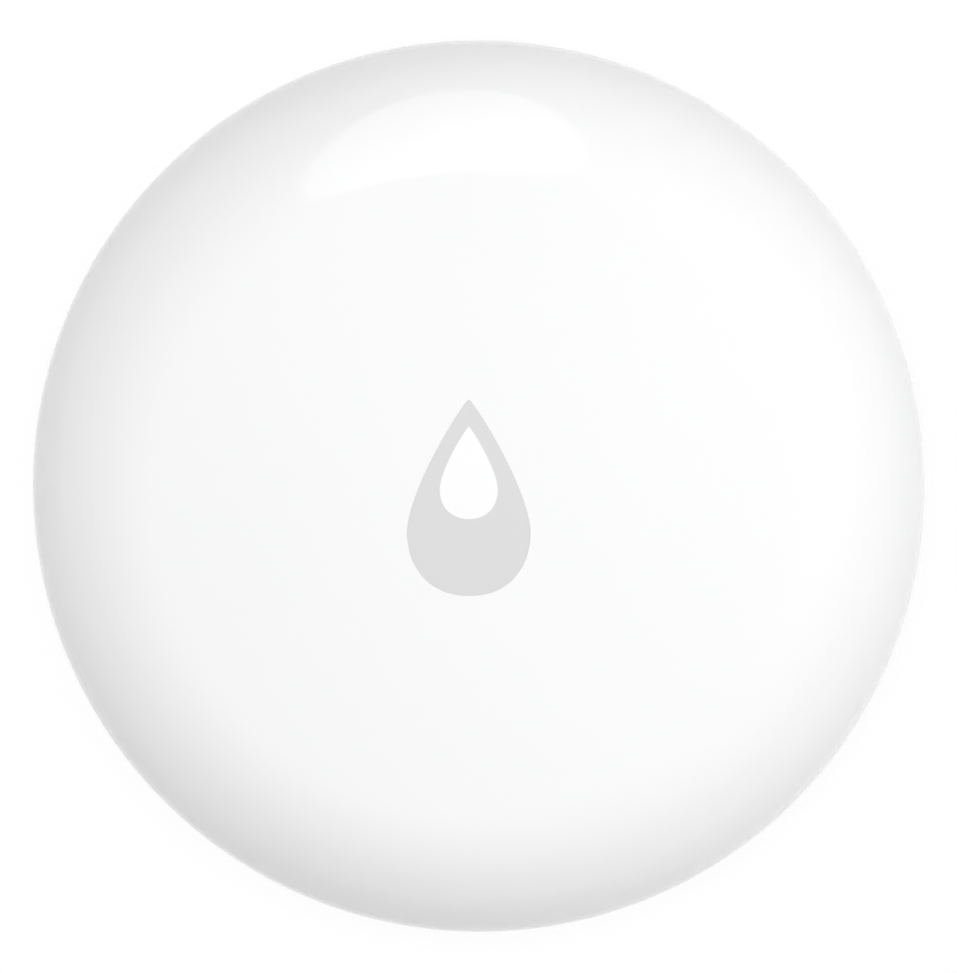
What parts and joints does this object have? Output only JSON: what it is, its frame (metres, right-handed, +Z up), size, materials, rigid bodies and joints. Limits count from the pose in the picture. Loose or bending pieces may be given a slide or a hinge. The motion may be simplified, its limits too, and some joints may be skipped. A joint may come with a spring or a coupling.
{
  "type": "water leak sensor",
  "caption": "Round domed battery-powered water leak sensor with a drop-shaped key in the crown, floor probes, rubber feet and a quick-turn battery cover.",
  "frame": {"origin": "on the surface that the feet stand on, under the middle of the dome", "axes": "+Z up through the crown, +Y towards the tip of the drop mark, +X towards the right-hand probe"},
  "size_m": [0.05, 0.05, 0.015],
  "materials": {
    "shell_white": "smooth high-gloss moulded ABS",
    "base_white": "satin-gloss moulded ABS",
    "key_grey": "smooth translucent light grey polycarbonate",
    "inlay_white": "smooth gloss, moulded into the key",
    "foot_grey": "fine matt rubber",
    "seal_grey": "smooth silicone",
    "membrane_clear": "milky silicone",
    "probe_steel": "turned stainless steel",
    "sheet_steel": "nickel-plated pressed sheet",
    "insert_brass": "turned brass",
    "contact_gold": "gold-plated, smooth",
    "board_green": "solder mask over glass fibre",
    "trace_copper": "etched copper",
    "chip_black": "moulded epoxy",
    "passive_tan": "fired ceramic",
    "lamp_white": "clear resin over phosphor",
    "guide_clear": "polished clear acrylic",
    "holder_black": "moulded nylon",
    "gasket_white": "moulded polypropylene",
    "cushion_foam": "closed-cell foam"
  },
  "bodies": {
    "housing": {"top_shell": "shell_white", "base_shell": "base_white", "foot_pads": "foot_grey", "shell_seal": "seal_grey", "board_screws": "sheet_steel", "main_board": "board_green", "antenna_trace": "trace_copper", "radio_chip": "chip_black", "crystal": "sheet_steel", "sense_chip": "chip_black", "passives": "passive_tan", "status_led": "lamp_white", "light_guide": "guide_clear", "switch_body": "holder_black", "switch_frame": "sheet_steel", "switch_snap_dome": "sheet_steel", "battery_holder": "holder_black", "battery_positive_clip": "sheet_steel", "battery_negative_spring": "sheet_steel", "battery_can": "sheet_steel", "battery_gasket": "gasket_white", "battery_cap": "sheet_steel", "contact_barrels": "contact_gold", "contact_spring_left": "sheet_steel", "contact_spring_right": "sheet_steel", "button_seal": "membrane_clear", "button_retainer": "holder_black"},
    "button": {"button_key": "key_grey", "button_inlay": "inlay_white"},
    "plunger": {"switch_plunger": "holder_black"},
    "left_pin": {"contact_pin_left": "contact_gold"},
    "right_pin": {"contact_pin_right": "contact_gold"},
    "seal_ring": {"cover_seal": "seal_grey"},
    "cover": {"battery_cover": "base_white", "probe_screws": "probe_steel", "probe_seals": "seal_grey", "probe_inserts": "insert_brass", "battery_cushion": "cushion_foam"}
  },
  "joints": [
    {"name": "key_press", "type": "slide", "parent": "housing", "child": "button", "axis": [0, 0, -1], "range_m": [0, 0.0003], "stiffness_N_per_m": 1000, "springref_m": -0.0003, "deforming": ["button_seal"]},
    {"name": "switch_travel", "type": "slide", "parent": "housing", "child": "plunger", "axis": [0, 0, -1], "range_m": [0, 0.0003], "deforming": ["switch_snap_dome"]},
    {"name": "left_pin_travel", "type": "slide", "parent": "housing", "child": "left_pin", "axis": [0, 0, 1], "range_m": [0, 0.0005], "stiffness_N_per_m": 300, "springref_m": -0.0008, "deforming": ["contact_spring_left"]},
    {"name": "right_pin_travel", "type": "slide", "parent": "housing", "child": "right_pin", "axis": [0, 0, 1], "range_m": [0, 0.0005], "stiffness_N_per_m": 300, "springref_m": -0.0008, "deforming": ["contact_spring_right"]},
    {"name": "cover_drop", "type": "slide", "parent": "housing", "child": "seal_ring", "axis": [0, 0, -1], "range_m": [0, 0.0081]},
    {"name": "cover_turn", "type": "hinge", "parent": "seal_ring", "child": "cover", "pos_m": [0, 0, 0], "axis": [0, 0, -1], "range_deg": [0, 240]}
  ],
  "couplings": [
    {"joint": "switch_travel", "follows": "key_press", "ratio": 1},
    {"joint": "cover_drop", "follows": "cover_turn", "m_per_rad": 0.0019099}
  ]
}
